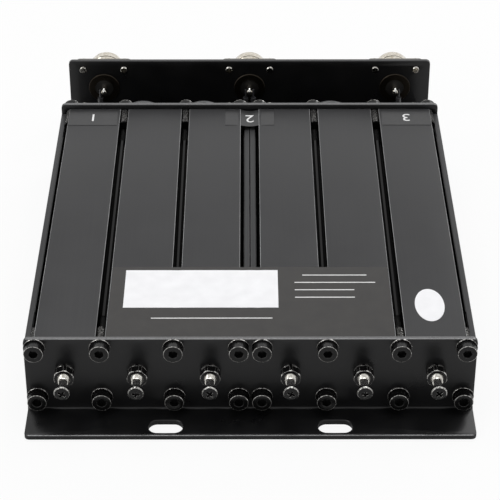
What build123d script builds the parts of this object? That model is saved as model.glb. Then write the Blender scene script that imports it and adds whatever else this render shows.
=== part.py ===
from build123d import *
import os

# Cavity duplexer: two extruded three-cavity blocks between a front and a rear bracket.
# Millimetres, +Z up, +Y toward the connectors, origin under the middle of the whole.
os.makedirs("parts", exist_ok=True)

# Overall width, and the cavity block profile that fills it
plate_width = 162.0
joint_gap = 0.4
block_width = (plate_width - joint_gap) / 2
block_length = 167.0
bore_web = 4.2
side_wall = 3.2
floor_wall = 2.2
cavity_pitch = (block_width - 2 * side_wall + bore_web) / 3
cavity_bore = (cavity_pitch - bore_web) / 2
half_height = cavity_bore + floor_wall
channel_depth = 2.3
channel_row = half_height - channel_depth
channel_radius = 1.7
rib_drop = 2.3
rib_width = 2.25
rib_opening = 1.4
edge_channel = rib_width + channel_radius
profile_corner = 0.25
tapped_depth = 20.0

# Brackets
sheet = 2.0
base_gap = 5.3
axis_height = base_gap + half_height
top_height = axis_height + half_height
front_rise = 1.3
front_height = top_height + front_rise
rear_rise = 2.0
rear_height = top_height + rear_rise
flange_reach = 15.6
cable_gap = 38.0
connector_reach = 18.0
plate_corner = 1.8
bend_inner = 0.8
bend_outer = bend_inner + sheet
slot_pitch = 61.0
slot_length = 12.5
slot_width = 7.0
slot_setback = 10.4

# M4 cap screws and washers
m4_radius = 2.0
m4_clearance = 2.25
m4_head = 3.5
m4_washer = 3.95
head_height = 3.6
washer_height = 0.5
head_round = 0.3
washer_hole = 2.1
socket_across = 3.0
socket_depth = 2.0
front_shank = 10.0
rear_shank = 12.0
thread_gap = 0.02
running_gap = 0.05

# M3 pan head screws
m3_radius = 1.5
m3_clearance = 1.7
m3_head = 2.85
m3_head_height = 2.3
m3_head_round = 0.9
m3_tap_margin = 2.0
recess_width = 0.8
recess_span = 3.2
recess_depth = 1.2

# Tuning screws
nut_across = 7.0
nut_corner = 3.75
nut_height = 3.2
tuning_washer = 3.5
tuning_washer_height = 0.8
rod_outside = 6.2
rod_length = 41.0
rod_chamfer = 0.3
rod_socket = 9.0
rod_socket_margin = 1.0
neck_length = 5.1
tuning_head_radius = 2.9
tuning_head_height = 1.8
tuning_head_round = 0.8

# Resonators and coupling
resonator_radius = 3.5
resonator_gap = 19.0
resonator_length = block_length - resonator_gap
rod_entry = rod_length - rod_outside - sheet - resonator_gap
rod_travel = 20.3
resonator_bore = 2.6
resonator_bore_depth = rod_entry + rod_travel
resonator_tap = 12.0
coupling_block_width = 8.0
coupling_block_reach = 9.0
coupling_block_height = 5.0
coupling_gap = 0.65
coupling_offset = m3_head + coupling_gap + coupling_block_width / 2
coupling_drop = 2.5
bead_radius = 2.5
bead_reach = 1.5
cable_offset = 2.1
cable_setback = 6.4
cable_radius = 1.3
cable_entry = 4.0
cable_end_gap = 0.5
wire_radius = 0.5
lead_stripped = 3.0
lead_height = 5.2
lead_bend = 4.5
loop_wire = 0.6
loop_reach = 14.0
loop_rise = 6.0
loop_bend = 2.0
jumper_heights = (11.0, 11.0, 11.0, 8.0)

# Connectors
connector_pitch = 2.5 * cavity_pitch
connector_flange = 25.4
connector_drop = 0.7
connector_height = rear_height - connector_drop - connector_flange / 2
connector_corner = 2.0
flange_thickness = 2.0
flange_hole_pitch = 18.3
flange_screw_tip = 0.8
barrel_radius = 7.9
barrel_chamfer = 0.5
neck_radius = 6.6
neck_end = 4.4
tip_radius = 7.7
tip_length = 3.8
tip_chamfer = 0.3
barrel_bore = 4.05
barrel_depth = 9.0
back_boss = 6.95
back_reach = 0.6
insulator_radius = 4.0
contact_radius = 1.5
contact_setback = 2.5
contact_bore = 0.83
contact_bore_depth = 5.5
pin_radius = 1.15
pin_reach = 4.2

# Labels
film = 0.12
rating_margin = 29.3
rating_width = plate_width - 2 * rating_margin
rating_length = 44.6
rating_setback = 1.0
insert_width = 56.8
insert_length = 24.2
insert_side_margin = 5.2
insert_rear_margin = 2.2
port_label_width = 20.8
port_label_length = 13.2
port_label_setback = 0.8
sticker_radius = 5.6
sticker_length_radius = 10.4
sticker_setback = 20.9
sticker_share = 0.478

# Positions that follow from the sizes
overall_length = flange_reach + 3 * sheet + block_length + cable_gap + connector_reach
y_front = flange_reach - overall_length / 2
y_block = y_front + sheet
y_rear = y_block + block_length
y_channel = y_rear + sheet
y_connector = y_channel + cable_gap
y_outer = y_connector + sheet
y_cable = y_channel + cable_setback
block_centre = (joint_gap + block_width) / 2
edge_shift = block_width / 2 - edge_channel
half_pitch = cavity_pitch / 2
screw_shifts = (-edge_shift, -half_pitch, half_pitch, edge_shift)
screw_columns = [side * block_centre + shift for side in (-1, 1) for shift in screw_shifts]
screw_rows = (axis_height + channel_row, axis_height - channel_row)
screw_points = [(x, z) for x in screw_columns for z in screw_rows]
cavities = [side * block_centre + k * cavity_pitch for side in (-1, 1) for k in (-1, 0, 1)]
cavity_points = [(x, axis_height) for x in cavities]
coupling_height = axis_height - coupling_drop
connectors = (-connector_pitch, 0.0, connector_pitch)
half_hole = flange_hole_pitch / 2
hole_corners = [(x, z) for x in (-half_hole, half_hole) for z in (-half_hole, half_hole)]
flange_points = [(c + x, connector_height + z) for c in connectors for x, z in hole_corners]


def upright(y):
    # Local x is X and local y is Z; a positive pull goes toward -Y.
    return Plane.XZ.offset(-y)


def save(part, name):
    part.label = name
    export_step(part, "parts/" + name + ".step")


# Front bracket
with BuildPart() as front_bracket:
    with BuildSketch(Plane.YZ):
        with BuildLine():
            Polyline(
                (y_front - flange_reach, 0),
                (y_front - flange_reach, sheet),
                (y_front, sheet),
                (y_front, front_height),
                (y_block, front_height),
                (y_block, 0),
                close=True,
            )
        make_face()
    extrude(amount=plate_width / 2, both=True)
    lines = front_bracket.edges().filter_by(Axis.X)
    fillet(lines.sort_by_distance((0, y_front, sheet))[0], bend_inner)
    lines = front_bracket.edges().filter_by(Axis.X)
    fillet(lines.sort_by_distance((0, y_block, 0))[0], bend_outer)
    fillet(front_bracket.edges().filter_by(Axis.Y).group_by(Axis.Z)[-1], plate_corner)
    fillet(front_bracket.edges().filter_by(Axis.Z).group_by(Axis.Y)[0], plate_corner)
    with BuildSketch(upright(y_front)):
        with Locations(*screw_points):
            Circle(m4_clearance)
        with Locations(*cavity_points):
            Circle(m4_radius + running_gap)
    extrude(amount=-sheet, mode=Mode.SUBTRACT)
    with BuildSketch(Plane.XY):
        with Locations((0, y_front - slot_setback)):
            with GridLocations(slot_pitch, 1, 2, 1):
                SlotOverall(slot_length, slot_width)
    extrude(amount=sheet, mode=Mode.SUBTRACT)
save(front_bracket.part, "front_bracket")

# Rear bracket: end plate, cable tray and connector plate in one folded sheet
with BuildPart() as rear_bracket:
    with BuildSketch(Plane.YZ):
        with BuildLine():
            Polyline(
                (y_rear, 0),
                (y_rear, rear_height),
                (y_channel, rear_height),
                (y_channel, sheet),
                (y_connector, sheet),
                (y_connector, rear_height),
                (y_outer, rear_height),
                (y_outer, 0),
                close=True,
            )
        make_face()
    extrude(amount=plate_width / 2, both=True)
    for y in (y_channel, y_connector):
        lines = rear_bracket.edges().filter_by(Axis.X)
        fillet(lines.sort_by_distance((0, y, sheet))[0], bend_inner)
    for y in (y_rear, y_outer):
        lines = rear_bracket.edges().filter_by(Axis.X)
        fillet(lines.sort_by_distance((0, y, 0))[0], bend_outer)
    fillet(rear_bracket.edges().filter_by(Axis.Y).group_by(Axis.Z)[-1], plate_corner)
    with BuildSketch(upright(y_channel)):
        with Locations(*screw_points):
            Circle(m4_clearance)
        with Locations(*cavity_points):
            Circle(m3_clearance)
        with Locations(*[(x + coupling_offset, coupling_height) for x in cavities]):
            Circle(bead_radius)
    extrude(amount=sheet, mode=Mode.SUBTRACT)
    with BuildSketch(upright(y_outer)):
        with Locations(*[(x, connector_height) for x in connectors]):
            Circle(back_boss + running_gap)
        with Locations(*flange_points):
            Circle(m3_radius + thread_gap)
    extrude(amount=sheet, mode=Mode.SUBTRACT)
save(rear_bracket.part, "rear_bracket")

# Cavity blocks: one extruded profile with bores, open screw channels and tapped channel ends
for side, name in ((-1, "left_cavity_block"), (1, "right_cavity_block")):
    with BuildPart() as cavity_block:
        with BuildSketch(upright(y_block)) as profile:
            with Locations((side * block_centre, axis_height)):
                Rectangle(block_width, 2 * half_height)
                shoulder = rib_width + rib_opening
                with GridLocations(block_width - shoulder, 2 * half_height - rib_drop, 2, 2):
                    Rectangle(shoulder, rib_drop, mode=Mode.SUBTRACT)
                with GridLocations(cavity_pitch, 2 * half_height - channel_depth, 2, 2):
                    Rectangle(2 * channel_radius, channel_depth, mode=Mode.SUBTRACT)
                opening_shift = block_width - 2 * rib_width - rib_opening
                with GridLocations(opening_shift, 2 * channel_row, 2, 2):
                    Rectangle(rib_opening, channel_radius, mode=Mode.SUBTRACT)
            corners = profile.vertices().group_by(Axis.Y)
            fillet(corners[0] + corners[-1], profile_corner)
            with Locations((side * block_centre, axis_height)):
                with GridLocations(cavity_pitch, 0, 3, 1):
                    Circle(cavity_bore, mode=Mode.SUBTRACT)
            with Locations(*[(side * block_centre + s, z) for s in screw_shifts for z in screw_rows]):
                Circle(channel_radius, mode=Mode.SUBTRACT)
        extrude(amount=-block_length)
        with BuildSketch(upright(y_block)):
            with Locations(*[(side * block_centre + s, z) for s in screw_shifts for z in screw_rows]):
                Circle(m4_radius)
        extrude(amount=-tapped_depth, mode=Mode.SUBTRACT)
        with BuildSketch(upright(y_rear)):
            with Locations(*[(side * block_centre + s, z) for s in screw_shifts for z in screw_rows]):
                Circle(m4_radius)
        extrude(amount=tapped_depth, mode=Mode.SUBTRACT)
    save(cavity_block.part, name)

# Front cap screws and their washers
with BuildPart() as front_screws:
    head_face = y_front - washer_height - head_height
    with BuildSketch(upright(head_face)):
        with Locations(*screw_points):
            Circle(m4_head)
    extrude(amount=-head_height)
    fillet(front_screws.edges().filter_by(GeomType.CIRCLE).group_by(Axis.Y)[0], head_round)
    with BuildSketch(upright(head_face)):
        with Locations(*screw_points):
            RegularPolygon(socket_across / 2, 6, major_radius=False)
    extrude(amount=-socket_depth, mode=Mode.SUBTRACT)
    with BuildSketch(upright(y_front - washer_height)):
        with Locations(*screw_points):
            Circle(m4_radius - thread_gap)
    extrude(amount=-(washer_height + front_shank))
save(front_screws.part, "front_screws")

with BuildPart() as front_washers:
    with BuildSketch(upright(y_front)):
        with Locations(*screw_points):
            Circle(m4_washer)
            Circle(washer_hole, mode=Mode.SUBTRACT)
    extrude(amount=washer_height)
save(front_washers.part, "front_washers")

# Rear cap screws and their washers
with BuildPart() as rear_screws:
    head_face = y_channel + washer_height + head_height
    with BuildSketch(upright(head_face)):
        with Locations(*screw_points):
            Circle(m4_head)
    extrude(amount=head_height)
    fillet(rear_screws.edges().filter_by(GeomType.CIRCLE).group_by(Axis.Y)[-1], head_round)
    with BuildSketch(upright(head_face)):
        with Locations(*screw_points):
            RegularPolygon(socket_across / 2, 6, major_radius=False)
    extrude(amount=socket_depth, mode=Mode.SUBTRACT)
    with BuildSketch(upright(y_channel + washer_height)):
        with Locations(*screw_points):
            Circle(m4_radius - thread_gap)
    extrude(amount=washer_height + rear_shank)
save(rear_screws.part, "rear_screws")

with BuildPart() as rear_washers:
    with BuildSketch(upright(y_channel)):
        with Locations(*screw_points):
            Circle(m4_washer)
            Circle(washer_hole, mode=Mode.SUBTRACT)
    extrude(amount=-washer_height)
save(rear_washers.part, "rear_washers")

# Lock nuts and washers of the tuning screws
with BuildPart() as tuning_washers:
    with BuildSketch(upright(y_front)):
        with Locations(*cavity_points):
            Circle(tuning_washer)
            Circle(m4_radius + running_gap, mode=Mode.SUBTRACT)
    extrude(amount=tuning_washer_height)
save(tuning_washers.part, "tuning_washers")

nut_turns = (8, 19, 38, 3, 26, 49)
with BuildPart() as lock_nuts:
    for (x, z), turn in zip(cavity_points, nut_turns):
        with BuildSketch(upright(y_front - tuning_washer_height)):
            with Locations((x, z)):
                RegularPolygon(nut_across / 2, 6, major_radius=False, rotation=turn)
                Circle(nut_corner, mode=Mode.INTERSECT)
                Circle(m4_radius + running_gap, mode=Mode.SUBTRACT)
        extrude(amount=nut_height)
save(lock_nuts.part, "lock_nuts")

# Tuning screws: a plated rod that enters the resonator, and a pan head screw in its end
y_rod = y_front - rod_outside
neck_face = y_rod - neck_length
for number, x in enumerate(cavities, start=1):
    with BuildPart() as tuning_rod:
        with BuildSketch(upright(y_rod)):
            with Locations((x, axis_height)):
                Circle(m4_radius)
        extrude(amount=-rod_length)
        chamfer(tuning_rod.edges().filter_by(GeomType.CIRCLE), rod_chamfer)
        with BuildSketch(upright(y_rod)):
            with Locations((x, axis_height)):
                Circle(m3_radius)
        extrude(amount=-rod_socket, mode=Mode.SUBTRACT)
    save(tuning_rod.part, f"tuning_rod_{number}")

    with BuildPart() as tuning_head:
        with BuildSketch(upright(neck_face)):
            with Locations((x, axis_height)):
                Circle(tuning_head_radius)
        extrude(amount=tuning_head_height)
        ends = tuning_head.edges().filter_by(GeomType.CIRCLE).group_by(Axis.Y)
        fillet(ends[0], tuning_head_round)
        with BuildSketch(upright(neck_face - tuning_head_height)):
            with Locations((x, axis_height)):
                Rectangle(recess_span, recess_width)
                Rectangle(recess_width, recess_span)
        extrude(amount=-recess_depth, mode=Mode.SUBTRACT)
        with BuildSketch(upright(neck_face)):
            with Locations((x, axis_height)):
                Circle(m3_radius - thread_gap)
        extrude(amount=-(neck_length + rod_socket - rod_socket_margin))
    save(tuning_head.part, f"tuning_head_{number}")

# Resonators: tubes fixed at the rear, open at the front for the tuning rods
for number, x in enumerate(cavities, start=1):
    with BuildPart() as resonator:
        with BuildSketch(upright(y_rear)):
            with Locations((x, axis_height)):
                Circle(resonator_radius)
        extrude(amount=resonator_length)
        with BuildSketch(upright(y_rear - resonator_length)):
            with Locations((x, axis_height)):
                Circle(resonator_bore)
        extrude(amount=-resonator_bore_depth, mode=Mode.SUBTRACT)
        with BuildSketch(upright(y_rear)):
            with Locations((x, axis_height)):
                Circle(m3_radius)
        extrude(amount=resonator_tap, mode=Mode.SUBTRACT)
    save(resonator.part, f"resonator_{number}")

with BuildPart() as resonator_screws:
    with BuildSketch(upright(y_channel)):
        with Locations(*cavity_points):
            Circle(m3_head)
    extrude(amount=-m3_head_height)
    ends = resonator_screws.edges().filter_by(GeomType.CIRCLE).group_by(Axis.Y)
    fillet(ends[-1], m3_head_round)
    with BuildSketch(upright(y_channel + m3_head_height)):
        with Locations(*cavity_points):
            Rectangle(recess_span, recess_width)
            Rectangle(recess_width, recess_span)
    extrude(amount=recess_depth, mode=Mode.SUBTRACT)
    with BuildSketch(upright(y_channel)):
        with Locations(*cavity_points):
            Circle(m3_radius - thread_gap)
    extrude(amount=sheet + resonator_tap - m3_tap_margin)
save(resonator_screws.part, "resonator_screws")

# Coupling fittings: solder blocks, insulating beads and wire loops
coupling_points = [(x + coupling_offset, coupling_height) for x in cavities]
jumper_ends = []
lead_ends = []
for group in (cavities[:3], cavities[3:]):
    first, middle, last = [x + coupling_offset for x in group]
    jumper_ends += [(first + cable_offset, middle - cable_offset)]
    jumper_ends += [(middle + cable_offset, last - cable_offset)]
    lead_ends += [first - cable_offset, last + cable_offset]
jumper_holes = [(x, y_cable) for pair in jumper_ends for x in pair]
lead_holes = [(x, y_cable) for x in lead_ends]
with BuildPart() as coupling_blocks:
    for x, z in coupling_points:
        with Locations((x, y_channel + coupling_block_reach / 2, z)):
            Box(coupling_block_width, coupling_block_reach, coupling_block_height)
    with BuildSketch(Plane.XY.offset(coupling_height + coupling_block_height / 2)):
        with Locations(*jumper_holes):
            Circle(cable_radius + thread_gap)
    extrude(amount=-cable_entry, mode=Mode.SUBTRACT)
    with BuildSketch(Plane.XY.offset(coupling_height - coupling_block_height / 2)):
        with Locations(*lead_holes):
            Circle(cable_radius + thread_gap)
    extrude(amount=cable_entry, mode=Mode.SUBTRACT)
save(coupling_blocks.part, "coupling_blocks")

with BuildPart() as coupling_beads:
    with BuildSketch(upright(y_channel)):
        with Locations(*coupling_points):
            Circle(bead_radius - thread_gap)
            Circle(loop_wire + thread_gap, mode=Mode.SUBTRACT)
    extrude(amount=sheet + bead_reach)
save(coupling_beads.part, "coupling_beads")

with BuildPart() as coupling_loops:
    for x, z in coupling_points:
        with BuildLine(Plane.YZ.offset(x)) as loop_path:
            Polyline(
                (y_channel, z),
                (y_rear - loop_reach, z),
                (y_rear - loop_reach, z + loop_rise),
                (y_rear, z + loop_rise),
            )
            fillet(loop_path.vertices().group_by(Axis.Y)[0], loop_bend)
        with BuildSketch(upright(y_channel)):
            with Locations((x, z)):
                Circle(loop_wire)
        sweep(path=loop_path.wires()[0])
save(coupling_loops.part, "coupling_loops")

# Coaxial cables
with BuildPart() as jumper_cables:
    for (x_from, x_to), height in zip(jumper_ends, jumper_heights):
        base = coupling_height + coupling_block_height / 2
        middle = (x_from + x_to) / 2
        with BuildLine(upright(y_cable)) as jumper_path:
            Line((x_from, base - cable_entry + cable_end_gap), (x_from, base))
            EllipticalCenterArc((middle, base), (x_to - x_from) / 2, height, arc_size=180)
            Line((x_to, base), (x_to, base - cable_entry + cable_end_gap))
        with BuildSketch(Plane.XY.offset(base - cable_entry + cable_end_gap)):
            with Locations((x_from, y_cable)):
                Circle(cable_radius)
        sweep(path=jumper_path.wires()[0])
save(jumper_cables.part, "jumper_cables")

lead_names = ("left_port_lead", "left_antenna_lead", "right_antenna_lead", "right_port_lead")
lead_sides = ((connectors[0], -1), (connectors[1], -1), (connectors[1], 1), (connectors[2], 1))
pin_end = y_connector - back_reach - pin_reach
y_wire = pin_end + 1.5 * wire_radius
lead_top = connector_height - lead_stripped
lead_entry = coupling_height - coupling_block_height / 2
for (x_pin, side), x_end, name in zip(lead_sides, lead_ends, lead_names):
    x_start = x_pin + side * (pin_radius + wire_radius + thread_gap)
    with BuildPart() as lead:
        with BuildLine() as lead_path:
            FilletPolyline(
                (x_start, y_wire, lead_top),
                (x_start, y_wire, lead_height),
                (x_end, y_cable, lead_height),
                (x_end, y_cable, lead_entry + cable_entry - cable_end_gap),
                radius=lead_bend,
            )
        with BuildSketch(Plane.XY.offset(lead_top)):
            with Locations((x_start, y_wire)):
                Circle(cable_radius)
        sweep(path=lead_path.wires()[0])
        with BuildSketch(Plane.XY.offset(lead_top)):
            with Locations((x_start, y_wire)):
                Circle(wire_radius)
        extrude(amount=lead_stripped + pin_radius)
    save(lead.part, name)

# Connectors
connector_names = ("left_connector", "antenna_connector", "right_connector")
thread_end = connector_reach - tip_length
boss_face = -(sheet + back_reach)
barrel_outline = (
    (boss_face, barrel_bore),
    (boss_face, back_boss),
    (0, back_boss),
    (0, neck_radius),
    (neck_end, neck_radius),
    (neck_end, barrel_radius - barrel_chamfer),
    (neck_end + barrel_chamfer, barrel_radius),
    (thread_end - barrel_chamfer, barrel_radius),
    (thread_end, barrel_radius - barrel_chamfer),
    (thread_end, tip_radius),
    (connector_reach - tip_chamfer, tip_radius),
    (connector_reach, tip_radius - tip_chamfer),
    (connector_reach, barrel_bore),
)
for x, name in zip(connectors, connector_names):
    with BuildPart() as connector:
        with BuildSketch(upright(y_outer)):
            with Locations((x, connector_height)):
                RectangleRounded(connector_flange, connector_flange, connector_corner)
                with GridLocations(flange_hole_pitch, flange_hole_pitch, 2, 2):
                    Circle(m3_clearance, mode=Mode.SUBTRACT)
                Circle(barrel_bore, mode=Mode.SUBTRACT)
        extrude(amount=-flange_thickness)
        with BuildSketch(Plane.YZ.offset(x)):
            with BuildLine():
                outline = [(y_outer + along, connector_height + r) for along, r in barrel_outline]
                Polyline(*outline, close=True)
            make_face()
        revolve(axis=Axis((x, 0, connector_height), (0, 1, 0)))
    save(connector.part, name)

for x, name in zip(connectors, connector_names):
    with BuildPart() as insulator:
        with BuildSketch(upright(y_outer + connector_reach - barrel_depth)):
            with Locations((x, connector_height)):
                Circle(insulator_radius)
                Circle(pin_radius + thread_gap, mode=Mode.SUBTRACT)
        extrude(amount=connector_reach - barrel_depth + sheet + back_reach)
    save(insulator.part, name.replace("connector", "insulator"))

    with BuildPart() as contact:
        with BuildSketch(upright(y_outer + connector_reach - barrel_depth)):
            with Locations((x, connector_height)):
                Circle(pin_radius)
        extrude(amount=connector_reach - barrel_depth + sheet + back_reach + pin_reach)
        with BuildSketch(upright(y_outer + connector_reach - barrel_depth)):
            with Locations((x, connector_height)):
                Circle(contact_radius)
        extrude(amount=-(barrel_depth - contact_setback))
        with BuildSketch(upright(y_outer + connector_reach - contact_setback)):
            with Locations((x, connector_height)):
                Circle(contact_bore)
        extrude(amount=contact_bore_depth, mode=Mode.SUBTRACT)
    save(contact.part, name.replace("connector", "contact"))

with BuildPart() as connector_screws:
    with BuildSketch(upright(y_outer + flange_thickness)):
        with Locations(*flange_points):
            Circle(m3_head)
    extrude(amount=-m3_head_height)
    ends = connector_screws.edges().filter_by(GeomType.CIRCLE).group_by(Axis.Y)
    fillet(ends[-1], m3_head_round)
    with BuildSketch(upright(y_outer + flange_thickness + m3_head_height)):
        with Locations(*flange_points):
            Rectangle(recess_span, recess_width)
            Rectangle(recess_width, recess_span)
    extrude(amount=recess_depth, mode=Mode.SUBTRACT)
    with BuildSketch(upright(y_outer + flange_thickness)):
        with Locations(*flange_points):
            Circle(m3_radius)
    extrude(amount=flange_thickness + sheet + flange_screw_tip)
save(connector_screws.part, "connector_screws")

# Labels on the flat tops
rating_rear = y_block + rating_setback + rating_length
with BuildPart() as rating_label:
    with Locations((0, rating_rear - rating_length / 2, top_height + film / 2)):
        Box(rating_width, rating_length, film)
save(rating_label.part, "rating_label")

with BuildPart() as label_insert:
    x = insert_side_margin + insert_width / 2 - rating_width / 2
    y = rating_rear - insert_rear_margin - insert_length / 2
    with Locations((x, y, top_height + 1.5 * film)):
        Box(insert_width, insert_length, film)
save(label_insert.part, "label_insert")

with BuildPart() as inspection_sticker:
    free_width = (plate_width - rating_width) / 2
    with BuildSketch(Plane.XY.offset(top_height)):
        with Locations((rating_width / 2 + sticker_share * free_width, y_block + sticker_setback)):
            Ellipse(sticker_radius, sticker_length_radius)
    extrude(amount=film)
save(inspection_sticker.part, "inspection_sticker")

label_columns = (cavities[0], 0.0, cavities[5])
label_middle = y_rear - port_label_setback - port_label_length / 2
for x, name in zip(label_columns, ("left", "antenna", "right")):
    with BuildPart() as port_label:
        with Locations((x, label_middle, top_height + film / 2)):
            Box(port_label_width, port_label_length, film)
    save(port_label.part, name + "_port_label")
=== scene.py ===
import math
from functools import partial

import bmesh
import bpy
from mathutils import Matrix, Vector


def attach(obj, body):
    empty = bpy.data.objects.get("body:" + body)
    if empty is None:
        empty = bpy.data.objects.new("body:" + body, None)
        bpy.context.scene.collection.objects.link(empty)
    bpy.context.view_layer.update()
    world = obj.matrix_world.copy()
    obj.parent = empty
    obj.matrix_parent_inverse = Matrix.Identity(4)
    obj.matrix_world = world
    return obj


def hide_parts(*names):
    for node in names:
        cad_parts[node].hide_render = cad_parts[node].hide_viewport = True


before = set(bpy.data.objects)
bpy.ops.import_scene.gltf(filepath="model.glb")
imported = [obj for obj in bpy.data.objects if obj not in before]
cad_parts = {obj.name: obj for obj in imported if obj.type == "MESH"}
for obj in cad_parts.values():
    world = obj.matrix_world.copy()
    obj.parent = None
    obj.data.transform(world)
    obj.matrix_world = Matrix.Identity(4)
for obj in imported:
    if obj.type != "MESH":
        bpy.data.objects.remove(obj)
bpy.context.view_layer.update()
print("frame loaded")

mm = 0.001
tiny = 1e-6


def lengths(**sizes):
    # a piece's sizes, given in millimetres
    return {
        name: tuple(part * mm for part in size) if isinstance(size, tuple) else size * mm
        for name, size in sizes.items()
    }


# Stations along the length, levels, and the hole pattern, the same as in the CAD part
place = lengths(
    flangeFront=-122.3, plateFront=-106.7, blockFront=-104.7, blockRear=62.3, trayFront=64.3,
    trayRear=102.3, plateRear=104.3, axis=18.5, flats=31.7, jackHeight=20.3,
)
cavities = [side * 40.6 * mm + k * 26.2 * mm for side in (-1, 1) for k in (-1, 0, 1)]
columns = (4.15, 27.5, 53.7, 77.05)
screwPoints = [(s * x * mm, z * mm) for s in (-1, 1) for x in columns for z in (29.4, 7.6)]
cavityPoints = [(x, place["axis"]) for x in cavities]
jacks = {"left": -65.5 * mm, "antenna": 0.0, "right": 65.5 * mm}
jackHoles = [(x * mm, z * mm) for x in (-9.15, 9.15) for z in (-9.15, 9.15)]


# Colours and nodes
def linear(hexColour):
    # sRGB hex to the linear colour that the sockets take
    values = [int(hexColour[i : i + 2], 16) / 255 for i in (1, 3, 5)]
    values = [v / 12.92 if v <= 0.04045 else ((v + 0.055) / 1.055) ** 2.4 for v in values]
    return (*values, 1.0)


def addNode(tree, kind, settings=None, links=None, stops=None):
    # a node, its settings by name or socket number, what feeds its sockets (a node's first
    # output, or a node and an output), and a ramp's stops
    node = tree.nodes.new("ShaderNode" + kind)
    for key, value in (settings or {}).items():
        if isinstance(key, int) or key in node.inputs:
            node.inputs[key].default_value = value
        else:
            setattr(node, key, value)
    for key, source in (links or {}).items():
        source, output = source if isinstance(source, tuple) else (source, 0)
        tree.links.new(source.outputs[output], node.inputs[key])
    for number, (position, colour) in enumerate(stops or []):
        elements = node.color_ramp.elements
        element = elements[number] if number < 2 else elements.new(position)
        element.position = position
        element.color = linear(colour)
    return node


def newMaterial(name, noises=()):
    # an empty material, what adds nodes to it, its object coordinates counted in millimetres, and
    # noises on them, each with a scale, detail and roughness
    material = bpy.data.materials.new(name)
    material.use_nodes = True
    material.node_tree.nodes.clear()
    add = partial(addNode, material.node_tree)
    coords = add("TexCoord")
    fine = add("Mapping", {"Scale": (1 / mm,) * 3}, {"Vector": (coords, "Object")})
    made = []
    for scale, detail, roughness in noises:
        settings = {"Scale": scale, "Detail": detail, "Roughness": roughness}
        made.append(add("TexNoise", settings, {"Vector": fine}))
    return material, add, fine, *made


def wornThrough(add, noise, span):
    # how bare the marked edges are, and on the blocks how strong the painted highlight on the
    # arrises is, in patches that follow the noise
    marked = add("Attribute", {"attribute_name": "wear"})
    patches = add("MapRange", span, {"Value": noise})
    return add("Math", {"operation": "MULTIPLY"}, {0: (marked, "Fac"), 1: patches})


def finishMaterial(material, add, settings, links):
    # the shader with what feeds it, and the output
    shader = add("BsdfPrincipled", settings, links)
    add("OutputMaterial", None, {"Surface": shader})
    return material


# Modelling helpers
def onlyActive(obj):
    bpy.ops.object.select_all(action="DESELECT")
    obj.select_set(True)
    bpy.context.view_layer.objects.active = obj


def startEdit(obj):
    # edit mode with everything selected
    onlyActive(obj)
    bpy.ops.object.mode_set(mode="EDIT")
    bpy.ops.mesh.select_all(action="SELECT")


def endEdit():
    bpy.ops.object.mode_set(mode="OBJECT")


def settled(obj):
    # the object's place, turn and scale go into its mesh
    onlyActive(obj)
    bpy.ops.object.transform_apply(location=True, rotation=True, scale=True)
    return obj


def pick(obj, kind, test):
    # in edit mode: selects the vertices, edges or faces whose middle passes the test
    bpy.ops.mesh.select_mode(type=kind)
    bpy.ops.mesh.select_all(action="DESELECT")
    mesh = bmesh.from_edit_mesh(obj.data)
    for item in {"VERT": mesh.verts, "EDGE": mesh.edges, "FACE": mesh.faces}[kind]:
        corners = [item] if kind == "VERT" else item.verts
        middle = sum((corner.co for corner in corners), Vector()) / len(corners)
        item.select_set(bool(test(middle, item)))
    mesh.select_flush_mode()
    bmesh.update_edit_mesh(obj.data)


def applyModifier(obj, kind, **settings):
    onlyActive(obj)
    modifier = obj.modifiers.new("step", kind)
    for key, value in settings.items():
        setattr(modifier, key, value)
    bpy.ops.object.modifier_apply(modifier=modifier.name)


def cutAway(obj, cutter, operation="DIFFERENCE"):
    applyModifier(obj, "BOOLEAN", object=cutter, operation=operation, solver="EXACT")
    bpy.data.objects.remove(cutter)


def joined(objects):
    bpy.ops.object.select_all(action="DESELECT")
    for obj in objects:
        obj.select_set(True)
    bpy.context.view_layer.objects.active = objects[0]
    bpy.ops.object.join()
    return bpy.context.object


def copied(obj, spot, turn=0.0):
    # a copy with its own mesh, turned about Y by degrees and moved to the spot
    twin = obj.copy()
    twin.data = obj.data.copy()
    bpy.context.scene.collection.objects.link(twin)
    twin.rotation_euler = (0, math.radians(turn), 0)
    twin.location = spot
    return settled(twin)


def repeated(obj, spots, turns=None):
    twins = [copied(obj, spot, turn) for spot, turn in zip(spots, turns or [0] * len(spots))]
    bpy.data.objects.remove(obj)
    return joined(twins)


def turnedOver(obj):
    # half a turn about Z, for a piece that faces the other way
    obj.rotation_euler = (0, 0, math.pi)
    return settled(obj)


def drawn(points):
    # an outline of (along, radius) points in the XY plane: one vertex, extruded point by point
    bpy.ops.mesh.primitive_plane_add(size=mm)
    obj = bpy.context.object
    startEdit(obj)
    bpy.ops.mesh.select_mode(type="VERT")
    bpy.ops.mesh.merge(type="CENTER")
    bpy.ops.transform.translate(value=(points[0][1], points[0][0], 0))
    for (a, r), (b, s) in zip(points, points[1:]):
        bpy.ops.mesh.extrude_vertices_move(TRANSFORM_OT_translate={"value": (s - r, b - a, 0)})
    endEdit()
    return obj


def cleaned(obj):
    startEdit(obj)
    bpy.ops.mesh.remove_doubles(threshold=tiny)
    bpy.ops.mesh.normals_make_consistent(inside=False)
    endEdit()
    return obj


def turned(points, steps=48, pitch=0, rounds=1):
    # an outline of (along, radius) points wound round the Y axis
    obj = drawn(points)
    applyModifier(
        obj, "SCREW", axis="Y", angle=2 * math.pi, steps=steps, render_steps=steps,
        screw_offset=pitch, iterations=rounds, use_merge_vertices=True, merge_threshold=tiny,
    )
    return cleaned(obj)


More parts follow.
